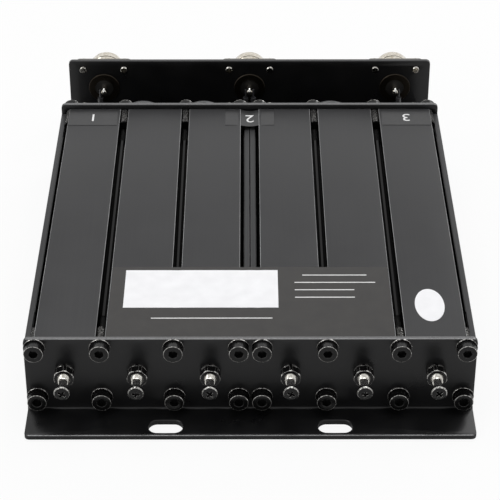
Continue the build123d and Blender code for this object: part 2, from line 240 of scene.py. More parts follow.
def threaded(root, crest, pitch, start, stop, steps=20):
    # a thread from start to stop along Y: one flank outline wound up, then cut square at both ends
    first = start - pitch
    flank = ((0, root), (0.4, crest), (0.55, crest), (0.95, root), (1, root))
    outline = [(first + share * pitch, radius) for share, radius in flank]
    obj = turned(outline, steps, pitch, math.ceil((stop - start) / pitch) + 2)
    for at, normal in ((start, (0, -1, 0)), (stop, (0, 1, 0))):
        startEdit(obj)
        bpy.ops.mesh.bisect(
            plane_co=(0, at, 0), plane_no=normal, use_fill=True, clear_outer=True, threshold=tiny
        )
        endEdit()
    return cleaned(obj)


def prism(corners, acrossFlats, start, stop):
    # a bar with flat sides along Y
    bpy.ops.mesh.primitive_cylinder_add(
        vertices=corners, radius=acrossFlats / 2 / math.cos(math.pi / corners), depth=stop - start,
        location=(0, (start + stop) / 2, 0), rotation=(math.pi / 2, 0, 0),
    )
    return settled(bpy.context.object)


def bar(size, middle):
    bpy.ops.mesh.primitive_cube_add(size=1, location=middle)
    obj = bpy.context.object
    obj.scale = size
    return settled(obj)


def softenEdges(obj, width, segments=2, limit=50):
    applyModifier(
        obj, "BEVEL", width=width, segments=segments, limit_method="ANGLE",
        angle_limit=math.radians(limit), use_clamp_overlap=True, miter_outer="MITER_ARC",
    )


def markWear(obj, test):
    # writes from 0 to 1 how far the coating of each face is worn through; on the blocks the same
    # share lays a painted highlight on the arrises
    wear = obj.data.attributes.get("wear") or obj.data.attributes.new("wear", "FLOAT", "CORNER")
    values = [0.0] * len(obj.data.loops)
    for face in obj.data.polygons:
        share = float(test(face.center, face.normal, face))
        for loop in face.loop_indices:
            values[loop] = share
    wear.data.foreach_set("value", values)


def slanted(middle, normal, face):
    # a bevel or chamfer face: its normal lies along none of the axes
    return max(abs(c) for c in normal) < 0.985


def onCrest(middle, normal, face):
    # the crest of a thread along Y
    return abs(normal.y) < 0.3


def finishPiece(obj, name, node, slotName, material, angle=30, body="duplexer"):
    obj.name = name
    obj.data.name = name
    settled(obj)
    bpy.ops.object.shade_smooth_by_angle(angle=math.radians(angle))
    obj.data.materials.clear()
    obj.data.materials.append(material)
    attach(obj, body)
    if node:
        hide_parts(node)


# Materials
def blackCoatedMetal(name, coat, bare, roughness, grain, worn, sheen):
    # a thin black finish over metal; on the marked edges the metal below shows through
    noises = [(0.11, 3, 0.5), (grain, 2, 0.5), (1.3, 4, 0.7)]
    material, add, _, cloud, grit, scuff = newMaterial(name, noises)
    span = {"From Min": 0.4, "From Max": 0.6, "To Min": worn[0], "To Max": worn[1]}
    rubbed = wornThrough(add, scuff, span)
    base = add("ValToRGB", None, {"Fac": cloud}, [(0.3, coat[0]), (0.7, coat[1])])
    colour = add("Mix", {"data_type": "RGBA", 7: linear(bare)}, {0: rubbed, 6: base})
    span = {"From Min": 0.3, "From Max": 0.7, "To Min": roughness[0], "To Max": roughness[1]}
    polish = add("MapRange", span, {"Value": cloud})
    bump = add("Bump", {"Strength": 0.2, "Distance": 0.03 * mm}, {"Height": grit})
    links = {"Base Color": (colour, 2), "Metallic": rubbed, "Roughness": polish, "Normal": bump}
    return finishMaterial(material, add, {"Specular IOR Level": sheen}, links)


def anodisedExtrusion():
    # black anodised aluminium: satin dark grey flats with faint die lines along the extrusion;
    # the screw channels are glossier and tapped near both ends, and painted near black inside, a
    # painted shade
    skin = {
        "flats": ("#363637", "#3c3c3d"),
        "inside": ("#020202", "#050505"),
        # the light grey of the arrises is a painted highlight
        "arris": "#a8a8a9",
        "gloss": 0.08,
        "sheen": 0.16,
        **lengths(lip=31.2, channelHalf=2, tapped=63.5, pitch=0.7),
    }
    noises = [(0.05, 3, 0.5), (5.0, 2, 0.5)]
    material, add, fine, cloud, grain = newMaterial("blackAnodisedAluminium", noises)
    along = add("Mapping", {"Scale": (1, 0.008, 1)}, {"Vector": fine})
    dieLines = add("TexNoise", {"Scale": 2.2, "Detail": 3}, {"Vector": along})
    shade = add("Mix", {"data_type": "FLOAT", 0: 0.45}, {2: cloud, 3: dieLines})
    # the channels' inside colours are near black: painted shade in the channels
    flats, inside = [
        add("ValToRGB", None, {"Fac": shade}, [(0.3, darker), (0.7, lighter)])
        for darker, lighter in (skin["flats"], skin["inside"])
    ]
    span = {"From Min": 0.3, "From Max": 0.7, "To Min": 0.36, "To Max": 0.46}
    satin = add("MapRange", span, {"Value": shade})

    # where the screw channels run: near a column of screws and below the flats
    coords = add("TexCoord")
    split = add("SeparateXYZ", None, {0: (coords, "Object")})
    middle = (place["blockFront"] + place["blockRear"]) / 2
    away = []
    for axis, centre in (("X", 0), ("Y", middle), ("Z", place["axis"])):
        centred = add("Math", {"operation": "SUBTRACT", 1: centre}, {0: (split, axis)})
        away.append(add("Math", {"operation": "ABSOLUTE"}, {0: centred}))
    side, reach, level = away
    below = {"operation": "LESS_THAN", 1: skin["lip"] - place["axis"]}
    channel = add("Math", below, {0: level})
    near = None
    for column in columns:
        beside = {"operation": "COMPARE", 1: column * mm, 2: skin["channelHalf"]}
        here = add("Math", beside, {0: side})
        if near:
            here = add("Math", {"operation": "MAXIMUM"}, {0: here, 1: near})
        near = here
    channel = add("Math", {"operation": "MULTIPLY"}, {0: channel, 1: near})

    # the tap has cut threads as far as the screws reach from both ends
    atEnd = add("Math", {"operation": "GREATER_THAN", 1: skin["tapped"]}, {0: reach})
    tapped = add("Math", {"operation": "MULTIPLY"}, {0: channel, 1: atEnd})
    winding = 2 * math.pi / skin["pitch"]
    phase = add("Math", {"operation": "MULTIPLY", 1: winding}, {0: (split, "Y")})
    wave = add("Math", {"operation": "SINE"}, {0: phase})
    thread = add("Math", {"operation": "MULTIPLY"}, {0: wave, 1: tapped})

    # the arrises of the flats are painted lighter, a painted highlight along the edges
    span = {"From Min": 0.35, "From Max": 0.6, "To Min": 0.6, "To Max": 1.0}
    arris = wornThrough(add, cloud, span)
    coat = add("Mix", {"data_type": "RGBA"}, {0: channel, 6: flats, 7: inside})
    light = linear(skin["arris"])
    colour = add("Mix", {"data_type": "RGBA", 7: light}, {0: arris, 6: (coat, 2)})
    polish = add("Mix", {"data_type": "FLOAT", 3: skin["gloss"]}, {0: channel, 2: satin})
    outside = add("Mix", {"data_type": "FLOAT", 2: 0.18, 3: 0.02}, {0: channel})
    bump = add("Bump", {"Distance": 0.02 * mm}, {"Height": grain, "Strength": outside})
    for height, strength, depth in ((dieLines, 0.16, 0.02), (thread, 0.9, 0.18)):
        settings = {"Strength": strength, "Distance": depth * mm}
        bump = add("Bump", settings, {"Height": height, "Normal": bump})
    links = {"Base Color": (colour, 2), "Roughness": polish, "Normal": bump}
    return finishMaterial(material, add, {"Specular IOR Level": skin["sheen"]}, links)


def platedMetal(name, light, dark, roughness, spots=0.9):
    # plated or bare metal: small clouds in the plating and faint handling marks
    material, add, _, cloud, marks = newMaterial(name, [(spots, 4, 0.65), (6.0, 2, 0.5)])
    colour = add("ValToRGB", None, {"Fac": cloud}, [(0.35, dark), (0.62, light)])
    span = {"From Min": 0.3, "From Max": 0.7, "To Min": roughness[1], "To Max": roughness[0]}
    polish = add("MapRange", span, {"Value": cloud})
    bump = add("Bump", {"Strength": 0.12, "Distance": 0.02 * mm}, {"Height": marks})
    links = {"Base Color": colour, "Roughness": polish, "Normal": bump}
    return finishMaterial(material, add, {"Metallic": 1.0}, links)


def jackPlating():
    # nickel on brass: bright on the barrel; darker and duller on the flange, a painted shade; near
    # black on the boss behind the plate, a painted shade; dark in the relief behind the collar, a
    # painted shade
    plating = {
        "barrel": [(0.35, "#cdc4b2"), (0.62, "#f3ede1")],
        "reliefShade": "#4d463b",
        "flange": "#77736b",
        "boss": "#37322c",
        "dull": 0.34,
        "bossEnd": place["plateRear"] / mm,
        "flangeEnd": place["plateRear"] / mm + 2.05,
        "relief": place["plateRear"] / mm + 13.95,
        "reliefHalf": 0.32,
    }
    noises = [(0.9, 4, 0.65), (6.0, 2, 0.5)]
    material, add, fine, cloud, marks = newMaterial("jackNickelPlate", noises)
    bright = add("ValToRGB", None, {"Fac": cloud}, plating["barrel"])
    split = add("SeparateXYZ", None, {0: fine})
    onBarrel, onFlange, relief = [
        add("Math", test, {0: (split, "Y")})
        for test in (
            {"operation": "GREATER_THAN", 1: plating["flangeEnd"]},
            {"operation": "GREATER_THAN", 1: plating["bossEnd"]},
            {"operation": "COMPARE", 1: plating["relief"], 2: plating["reliefHalf"]},
        )
    ]
    # the boss behind the plate is painted near black and the flange darker: both are painted shade
    tones = {"data_type": "RGBA", 6: linear(plating["boss"]), 7: linear(plating["flange"])}
    rear = add("Mix", tones, {0: onFlange})
    plated = add("Mix", {"data_type": "RGBA"}, {0: onBarrel, 6: (rear, 2), 7: bright})
    # the relief behind the collar is painted dark: painted shade in the groove
    reliefShade = linear(plating["reliefShade"])
    colour = add("Mix", {"data_type": "RGBA", 7: reliefShade}, {0: relief, 6: (plated, 2)})
    span = {"From Min": 0.3, "From Max": 0.7, "To Min": 0.14, "To Max": 0.06}
    bare = add("MapRange", span, {"Value": cloud})
    polish = add("Mix", {"data_type": "FLOAT", 2: plating["dull"]}, {0: onFlange, 3: bare})
    bump = add("Bump", {"Strength": 0.12, "Distance": 0.02 * mm}, {"Height": marks})
    links = {"Base Color": (colour, 2), "Roughness": polish, "Normal": bump}
    return finishMaterial(material, add, {"Metallic": 1.0}, links)


def plasticSkin(name, light, dark, roughness, cell, depth):
    # moulded plastic, film or paper: a slight mottle and a fine surface bump
    material, add, _, cloud, skin = newMaterial(name, [(0.16, 4, 0.5), (cell, 3, 0.5)])
    colour = add("ValToRGB", None, {"Fac": cloud}, [(0.3, dark), (0.7, light)])
    span = {"From Min": 0.3, "From Max": 0.7, "To Min": roughness[0], "To Max": roughness[1]}
    polish = add("MapRange", span, {"Value": skin})
    bump = add("Bump", {"Strength": 0.3, "Distance": depth * mm}, {"Height": skin})
    links = {"Base Color": colour, "Roughness": polish, "Normal": bump}
    return finishMaterial(material, add, {"Specular IOR Level": 0.5}, links)


# a smooth, slightly uneven black coat, grey where its cut edges are rubbed
sheetPaint = blackCoatedMetal(
    "blackPowderCoatedSteel", ("#0d0d0e", "#111112"), "#828283", (0.27, 0.35), 2.6, (0.6, 0.8), 0.34
)
# thin, oily and near black, with steel glinting in patches on the rims
blackOxide = blackCoatedMetal(
    "blackOxideSteel", ("#080808", "#0f0f0f"), "#d6d4d0", (0.16, 0.26), 4.0, (0.1, 1.0), 0.25
)
anodised = anodisedExtrusion()
jackPlate = jackPlating()
# bright, slightly warm mirror with small clouds; colder on the rods; dark on the zinc, with light
# spots that are painted glints
nickelPlate = platedMetal("nickelPlatedBrass", "#efeae0", "#d6cdb9", (0.14, 0.24))
rodPlate = platedMetal("nickelPlatedRod", "#f4f2ec", "#b9b5ac", (0.12, 0.24), 1.4)
# its light spots are painted glints on the dark screw ends
zincWithPaintedGlints = platedMetal("zincPlatedSteelPaintedGlints", "#e8e5de", "#35322e", (0.1, 0.2), 1.1)
# yellow metal, drawn smooth, and its softer, greyer tinned skin
brass = platedMetal("drawnBrass", "#cda765", "#b08a4a", (0.22, 0.34))
tinnedBrass = platedMetal("tinnedBrass", "#cfc9bb", "#a89f8b", (0.3, 0.45))
# wet-looking grey beads, and reddish wire
solder = platedMetal("tinLeadSolder", "#dcdcda", "#9b9a97", (0.1, 0.2), 1.2)
copper = platedMetal("copperWire", "#d08a5e", "#b4683f", (0.22, 0.32))
# waxy white, and a brown that is almost black
fluoropolymer = plasticSkin("whiteFluoropolymer", "#efeeea", "#e2e1dc", (0.35, 0.45), 3.0, 0.02)
darkInsulator = plasticSkin("darkPhenolicInsulator", "#110f0e", "#0b0a09", (0.35, 0.5), 3.0, 0.02)
# smooth grey vinyl that shines along the cable
cableJacket = plasticSkin("greyCableJacket", "#3c3c3e", "#303032", (0.12, 0.2), 1.6, 0.02)
# glossy dark film with slow waves, and a duller, greyer one
labelFilm = plasticSkin("darkLabelFilm", "#2d2b29", "#272524", (0.16, 0.24), 0.4, 0.03)
portFilm = plasticSkin("greyLabelFilm", "#2c2c2d", "#272728", (0.3, 0.4), 0.6, 0.02)
# matte white paper, and the slightly darker ink of the print
labelPaper = plasticSkin("whiteLabelPaper", "#f0f0f2", "#e8e8ea", (0.5, 0.62), 2.4, 0.03)
whiteInk = plasticSkin("whiteLabelInk", "#e4e4e4", "#d6d6d6", (0.5, 0.6), 3.0, 0.01)
print("materials ready")


# Folded brackets, both from the same sheet
fold = lengths(half=81, sheet=2, bend=2.8, corner=1.8, edge=0.28, screwHole=2.25, clear=1)


def foldedSheet(outline):
    # the outer line of the fold is drawn, stood up in the YZ plane and widened, its folds are
    # rounded, and Solidify gives the sheet its thickness toward the inside
    sheet, half, top = fold["sheet"], fold["half"], outline[-1][1]
    obj = drawn(outline)
    obj.rotation_euler = (0, -math.pi / 2, 0)
    startEdit(settled(obj))
    bpy.ops.transform.translate(value=(-half, 0, 0))
    bpy.ops.mesh.extrude_region_move(TRANSFORM_OT_translate={"value": (2 * half, 0, 0)})
    folds = [Vector((0, y, z)) for y, z in outline[1:-1]]
    pick(obj, "EDGE", lambda m, e: abs(m.x) < tiny and any((m - f).length < tiny for f in folds))
    bpy.ops.mesh.bevel(offset=fold["bend"], segments=8, affect="EDGES")
    bpy.ops.mesh.select_all(action="SELECT")
    bpy.ops.mesh.normals_make_consistent(inside=False)
    endEdit()
    # Solidify grows against the normals, so those of the floor must point down
    floor = next(f for f in obj.data.polygons if f.center.z < 1 * mm)
    if floor.normal.z > 0:
        startEdit(obj)
        bpy.ops.mesh.flip_normals()
        endEdit()
    applyModifier(obj, "SOLIDIFY", thickness=sheet, offset=-1, use_even_offset=True)

    def atCorner(middle, edge):
        # the short edges through the sheet at its corners
        atEnd = middle.z > top - tiny or middle.y < place["flangeFront"] + tiny
        short = abs(edge.calc_length() - sheet) < 0.05 * mm
        return abs(abs(middle.x) - half) < tiny and atEnd and short

    startEdit(cleaned(obj))
    pick(obj, "EDGE", atCorner)
    bpy.ops.mesh.bevel(offset=fold["corner"], segments=6, affect="EDGES")
    endEdit()
    softenEdges(obj, fold["edge"])
    return obj


def holeCutter(points, radius, start, stop, steps=32):
    hole = turned([(start, 0), (start, radius), (stop, radius), (stop, 0)], steps)
    return repeated(hole, [(x, 0, z) for x, z in points])


def slotCutter(slot, spot):
    # a long hole with a broken rim: two half rounds with a straight run between, flared at the top
    radius, flare, clear = slot["radius"], slot["flare"], fold["clear"]
    top = fold["sheet"] + clear
    outline = [(-clear, 0), (-clear, radius), (fold["sheet"] - flare, radius)]
    obj = turned([*outline, (top, radius + flare + clear), (top, 0)], 32)
    obj.rotation_euler = (math.pi / 2, 0, 0)
    startEdit(settled(obj))
    bpy.ops.mesh.bisect(plane_co=(0, 0, 0), plane_no=(1, 0, 0))
    for side in (1, -1):
        pick(obj, "VERT", lambda m, v: side * m.x > tiny)
        bpy.ops.transform.translate(value=(side * slot["straight"] / 2, 0, 0))
    endEdit()
    obj.location = spot
    return cleaned(settled(obj))


def makeFrontBracket():
    bracket = lengths(height=33, rodHole=2.05)
    slot = lengths(shift=30.5, setback=10.4, straight=5.5, radius=3.5, flare=0.3)
    front, back, top = place["flangeFront"], place["blockFront"], bracket["height"]
    obj = foldedSheet([(front, 0), (back, 0), (back, top)])
    for side in (-1, 1):
        spot = (side * slot["shift"], place["plateFront"] - slot["setback"], 0)
        cutAway(obj, slotCutter(slot, spot))
    start, stop = place["plateFront"] - fold["clear"], place["blockFront"] + fold["clear"]
    cutAway(obj, holeCutter(screwPoints, fold["screwHole"], start, stop))
    cutAway(obj, holeCutter(cavityPoints, bracket["rodHole"], start, stop))

    def cutEdge(middle, normal, face):
        # the sawn edge along the top, and the upper arris of the flange
        arris = middle.y < front + fold["edge"] and normal.z > 0.2 and slanted(middle, normal, face)
        return arris or (middle.z > top - fold["edge"] and normal.y > -0.2)

    markWear(obj, cutEdge)
    finishPiece(obj, "frontBracket", "front_bracket", "black_sheet", sheetPaint)


def makeRearBracket():
    bracket = lengths(
        height=33.7, resonatorHole=1.7, beadShift=7.5, beadLevel=16, beadHole=2.5, jackHole=7,
        jackScrewHole=1.52,
    )
    front, back, top = place["blockRear"], place["plateRear"], bracket["height"]
    obj = foldedSheet([(front, top), (front, 0), (back, 0), (back, top)])
    beads = [(x + bracket["beadShift"], bracket["beadLevel"]) for x in cavities]
    start, stop = place["blockRear"] - fold["clear"], place["trayFront"] + fold["clear"]
    cutAway(obj, holeCutter(screwPoints, fold["screwHole"], start, stop))
    cutAway(obj, holeCutter(cavityPoints, bracket["resonatorHole"], start, stop))
    cutAway(obj, holeCutter(beads, bracket["beadHole"], start, stop))
    centres = [(x, place["jackHeight"]) for x in jacks.values()]
    corners = [(x + dx, z + dz) for x, z in centres for dx, dz in jackHoles]
    start, stop = place["trayRear"] - fold["clear"], place["plateRear"] + fold["clear"]
    cutAway(obj, holeCutter(centres, bracket["jackHole"], start, stop, 64))
    cutAway(obj, holeCutter(corners, bracket["jackScrewHole"], start, stop, 24))

    def cutEdge(middle, normal, face):
        # the sawn edge along the top, rubbed more on the end plate than on the connector plate
        if middle.z < top - fold["edge"] or normal.y < -0.2:
            return 0
        return 1 if middle.y < place["trayFront"] else 0.3

    markWear(obj, cutEdge)
    finishPiece(obj, "rearBracket", "rear_bracket", "black_sheet", sheetPaint)


makeFrontBracket()
makeRearBracket()
print("brackets done")


# Cavity blocks
def makeBlocks():
    # the extruded profile is drawn round in the XY plane, filled, pulled out along Y and bored
    block = lengths(
        half=40.4, top=13.2, row=10.9, rib=38.15, lip=36.75, outer=36.45, inner=13.1, channel=1.7,
        arris=0.17, pitch=26.2, bore=11, tap=2, tapped=20, middle=40.6, clear=1,
    )
    r, row, top = block["channel"], block["row"], block["top"]
    start, stop = place["blockFront"], place["blockRear"]

    def arc(across, first, last):
        steps = round(abs(last - first) / 9)
        turns = [math.radians(first + (last - first) * k / steps) for k in range(steps + 1)]
        return [(row + r * math.sin(t), across + r * math.cos(t)) for t in turns]

    lipTurn = math.degrees(math.acos((block["outer"] - block["lip"]) / r))
    half = [(row, -block["half"]), *arc(-block["outer"], 180, 360 + lipTurn), (top, -block["lip"])]
    half += [(top, -block["inner"] - r), *arc(-block["inner"], 180, 360), (top, r - block["inner"])]
    upper = half + [(along, -across) for along, across in reversed(half)]
    lower = [(-along, across) for along, across in reversed(upper)]
    obj = drawn(upper + lower)
    startEdit(obj)
    bpy.ops.mesh.edge_face_add()
    bpy.ops.mesh.extrude_region_move(TRANSFORM_OT_translate={"value": (0, 0, start - stop)})
    endEdit()
    obj.rotation_euler = (math.pi / 2, 0, 0)
    obj.location = (0, start, place["axis"])
    cleaned(settled(obj))
    softenEdges(obj, block["arris"])
    reach = (start - block["clear"], stop + block["clear"])
    bores = [(k * block["pitch"], place["axis"]) for k in (-1, 0, 1)]
    cutAway(obj, holeCutter(bores, block["bore"], *reach, 96))
    channels = [
        (side * across, place["axis"] + level * row)
        for side in (-1, 1)
        for across in (block["outer"], block["inner"])
        for level in (-1, 1)
    ]
    cutAway(obj, holeCutter(channels, block["tap"], reach[0], start + block["tapped"]))
    cutAway(obj, holeCutter(channels, block["tap"], stop - block["tapped"], reach[1]))

    def rubbed(middle, normal, face):
        # where the painted highlight lies: on the arrises of the flats, and faintly on the ribs
        # along the outer corners
        level = abs(middle.z - place["axis"])
        if level > top - block["arris"] and abs(normal.z) < 0.98:
            return 1
        return 0.15 * (abs(middle.x) > block["rib"] and slanted(middle, normal, face))

    markWear(obj, rubbed)
    for side, across in (("left", -block["middle"]), ("right", block["middle"])):
        twin = copied(obj, (across, 0, 0))
        finishPiece(twin, f"{side}Block", f"{side}_cavity_block", "black_anodised", anodised)
    bpy.data.objects.remove(obj)


makeBlocks()
print("blocks done")


# Cap screws and washers
def makeCapScrew(shank):
    # socket head cap screw, M4: the head's face toward -Y at y = 0
    screw = lengths(
        head=3.5, height=3.6, round=0.2, hex=3, deep=2, thread=1.98, root=1.6, pitch=0.7
    )
    knurls, dent = 36, 0.965
    r, h, c = screw["head"], screw["height"], screw["round"]
    outline = [(0, 0), (0, r - c), (0.12 * c, r - 0.6 * c), (0.4 * c, r - 0.15 * c), (c, r)]
    head = turned([*outline, (h - 0.1 * mm, r), (h, r - 0.1 * mm), (h, 0)], 2 * knurls)

    def inKnurl(middle, vertex):
        strip = round(math.atan2(middle.z, middle.x) / (math.pi / knurls))
        return math.hypot(middle.x, middle.z) > r - tiny and strip % 2 == 0

    startEdit(head)
    pick(head, "VERT", inKnurl)
    bpy.ops.transform.resize(value=(dent, 1, dent), center_override=(0, 0, 0))
    endEdit()
    cutAway(head, prism(6, screw["hex"], -1 * mm, screw["deep"]))
    outline = [(-0.5 * mm, 0), (-0.5 * mm, 2.5 * mm), (0.1 * mm, 1.74 * mm), (0.1 * mm, 0)]
    cutAway(head, turned(outline, 36))

    def rims(middle, normal, face):
        # the outer rim is rubbed bare, the mouth of the hexagon only here and there
        reach = math.hypot(middle.x, middle.z)
        if middle.y > 0.3 * mm or not slanted(middle, normal, face):
            return 0
        return 1 if reach > 3 * mm else 0.07 * (reach > 1.72 * mm)

    markWear(head, rims)
    thread = threaded(screw["root"], screw["thread"], screw["pitch"], h - 0.05 * mm, h + shank)
    markWear(thread, onCrest)
    return joined([head, thread])


def makeWasher(outer, inner, height):
    c = 0.08 * mm
    outline = [(0, inner), (0, outer - c), (c, outer), (height - c, outer), (height, outer - c)]
    obj = turned([*outline, (height, inner), (0, inner)], 40)
    markWear(obj, slanted)
    return obj


def makeCapScrews():
    fit = lengths(head=3.6, washer=0.5, outer=3.95, inner=2.1, frontShank=10.5, rearShank=12.5)
    turns = [17, 44, 8, 31, 52, 3, 25, 39, 12, 48, 29, 55, 20, 6, 35, 41]
    lift = fit["washer"] + fit["head"]
    front, rear = place["plateFront"], place["trayFront"]
    for side, screw, y in (
        ("front", makeCapScrew(fit["frontShank"]), front - lift),
        ("rear", turnedOver(makeCapScrew(fit["rearShank"])), rear + lift),
    ):
        screws = repeated(screw, [(x, y, z) for x, z in screwPoints], turns)
        finishPiece(screws, f"{side}Screws", f"{side}_screws", "black_steel", blackOxide, 35)
    for side, y in (("front", front - fit["washer"]), ("rear", rear)):
        washer = makeWasher(fit["outer"], fit["inner"], fit["washer"])
        washers = repeated(washer, [(x, y, z) for x, z in screwPoints])
        finishPiece(washers, f"{side}Washers", f"{side}_washers", "black_steel", blackOxide)


makeCapScrews()
print("cap screws done")


# Tuning screws
def crossCut(obj, span, width, deep):
    # the cross recess in a head whose face is at y = 0, two cuts that narrow with depth
    for size in ((span, width), (width, span)):
        blade = bar((size[0], 2 * deep, size[1]), (0, 0, 0))
        startEdit(blade)
        pick(blade, "FACE", lambda m, f: m.y > 0.5 * deep and abs(f.normal.y) > 0.9)
        bpy.ops.transform.resize(value=(0.62, 1, 0.62), center_override=(0, 0, 0))
        endEdit()
        cutAway(obj, blade)


def makePanHead(r, h, shank):
    # pan head screw, M3, with the head's radius and height: its face toward -Y at y = 0
    pan = lengths(span=3.6, slit=0.92, deep=1.2, edge=0.09, pitch=0.5, thread=1.48, root=1.2)
    dome = ((0, 0), (0, 0.52), (0.05, 0.74), (0.16, 0.89), (0.32, 0.97), (0.46, 1))
    outline = [(along * h, across * r) for along, across in dome]
    head = turned([*outline, (h - 0.12 * mm, r), (h, r - 0.12 * mm), (h, 0)], 44)
    crossCut(head, pan["span"], pan["slit"], pan["deep"])
    softenEdges(head, pan["edge"], 1, 60)

    def crown(middle, normal, face):
        # the shoulder of the head and the lips of the cross
        shoulder = 0.1 * h < middle.y < 0.4 * h and math.hypot(middle.x, middle.z) > 0.85 * r
        small = face.area < 0.2 * mm * mm
        return shoulder or (small and middle.y < pan["edge"] and -normal.y < 0.9)

    markWear(head, crown)
    thread = threaded(pan["root"], pan["thread"], pan["pitch"], h - 0.05 * mm, h + shank)
    markWear(thread, onCrest)
    return joined([head, thread])


def makeTuningScrews():
    tuning = lengths(
        outside=6.2, length=41, radius=2, root=1.68, pitch=0.7, chamfer=0.42, socket=1.5,
        socketDeep=9, neck=5.1, head=2.9, headHeight=1.8, shank=8, nutAcross=7, nutCorner=3.75,
        nutHeight=3.2, washer=3.5, washerHeight=0.8,
    )
    nutTurns, headTurns = (8, 19, 38, 3, 26, 49), (32, 8, 41, 20, 4, 50)
    r, c = tuning["radius"], tuning["chamfer"]
    start = place["plateFront"] - tuning["outside"]
    stop = start + tuning["length"]
    rod = threaded(tuning["root"], r, tuning["pitch"], start, stop, 24)
    before, deep, socket = start - 1 * mm, start + tuning["socketDeep"], tuning["socket"]
    cutAway(rod, turned([(before, 0), (before, socket), (deep, socket), (deep, 0)], 32))
    before, clear = start - 0.6 * mm, r + 1 * mm
    cone = [(before, r - 0.8 * mm + c), (start + c, r + 0.02 * mm), (start + c, clear)]
    cutAway(rod, turned([*cone, (before, clear), cone[0]], 48))

    # the lock nut: a hexagon with its corners turned off and a countersunk bore
    back = place["plateFront"] - tuning["washerHeight"]
    face, corner = back - tuning["nutHeight"], tuning["nutCorner"]
    flat = tuning["nutAcross"] / 2 - 0.05 * mm
    nut = prism(6, tuning["nutAcross"], face, back)
    outline = [(face, 0), (face, flat), (face + 0.2 * mm, corner), (back - 0.2 * mm, corner)]
    cutAway(nut, turned([*outline, (back, flat), (back, 0)], 48), "INTERSECT")
    mouth, bore = r + 0.45 * mm, r + 0.03 * mm
    outline = [(face - 0.1 * mm, 0), (face - 0.1 * mm, mouth), (face + 0.4 * mm, bore)]
    cutAway(nut, turned([*outline, (back + 0.1 * mm, bore), (back + 0.1 * mm, 0)], 36))
    softenEdges(nut, 0.1 * mm, 2, 25)
    markWear(nut, lambda m, n, f: slanted(m, n, f) and f.area < 0.5 * mm * mm)
    nuts = repeated(nut, [(x, 0, z) for x, z in cavityPoints], nutTurns)
    finishPiece(nuts, "lockNuts", "lock_nuts", "black_steel", blackOxide)

    head = makePanHead(tuning["head"], tuning["headHeight"], tuning["neck"] + tuning["shank"])
    headFace = start - tuning["neck"] - tuning["headHeight"]
    for n, (x, z), turn in zip(range(1, 7), cavityPoints, headTurns):
        finish = ("plated_rod", rodPlate, 25, f"tuning_screw_{n}")
        finishPiece(copied(rod, (x, 0, z)), f"tuningRod{n}", f"tuning_rod_{n}", *finish)
        finish = ("black_steel", blackOxide, 35, f"tuning_screw_head_{n}")
        twin = copied(head, (x, headFace, z), turn)
        finishPiece(twin, f"tuningHead{n}", f"tuning_head_{n}", *finish)
    bpy.data.objects.remove(rod)
    bpy.data.objects.remove(head)
    washer = makeWasher(tuning["washer"], r + 0.05 * mm, tuning["washerHeight"])
    washers = repeated(washer, [(x, back, z) for x, z in cavityPoints])
    finishPiece(washers, "tuningWashers", "tuning_washers", "black_steel", blackOxide)


makeTuningScrews()
print("tuning screws done")


# Jacks
def makeJackBody(jack):
    # flange, rear boss, undercut, threaded barrel and the plain collar at its end
    y = place["plateRear"]
    thick, boss, bore = jack["thick"], jack["boss"], jack["bore"]
    flange = bar((jack["flange"], thick, jack["flange"]), (0, y + thick / 2, 0))
    startEdit(flange)
    pick(flange, "EDGE", lambda m, e: abs(e.calc_length() - thick) < tiny)
    bpy.ops.mesh.bevel(offset=jack["corner"], segments=6, affect="EDGES")
    endEdit()
    softenEdges(flange, jack["edge"])
    reach = (y - 1 * mm, y + thick + 1 * mm)
    cutAway(flange, holeCutter(jackHoles, jack["screwHole"], *reach, 24))
    cutAway(flange, holeCutter([(0, 0)], bore + 1 * mm, *reach, 48))

    back, neck, core = y - jack["bossReach"], jack["neck"], jack["root"] - 0.1 * mm
    tip, end, c = jack["tip"], y + jack["reach"] - 0.01 * mm, 0.35 * mm
    start, stop = y + jack["neckEnd"], y + jack["reach"] - jack["tipLength"]
    rear = [(back, bore), (back, boss - 0.2 * mm), (back + 0.2 * mm, boss), (y, boss), (y, neck)]
    middle = [(start, neck), (start, core), (stop, core), (stop, tip - 0.15 * mm)]
    lip = [(stop + 0.15 * mm, tip), (end - c, tip), (end - 0.3 * c, tip - 0.25 * c), (end, tip - c)]
    mouth = [(end, bore + 0.9 * mm), (end - 0.35 * mm, bore + 0.75 * mm), (end - 0.9 * mm, bore)]
    body = turned([*rear, *middle, *lip, *mouth, (back, bore)], 64)

    # the thread starts and ends with a chamfer; a narrow relief divides it from the collar
    crest, last = jack["barrel"], stop - jack["relief"]
    thread = threaded(jack["root"], crest, jack["pitch"], start, last, 56)
    low, high, out = crest - 1 * mm, crest + 0.01 * mm, crest + 1 * mm
    for at, step in ((start, 0.5 * mm), (last, -0.5 * mm)):
        ring = [(at - step, low), (at + step, high), (at + step, out), (at - step, out)]
        cutAway(thread, turned([*ring, ring[0]], 56))
    return joined([flange, body, thread])


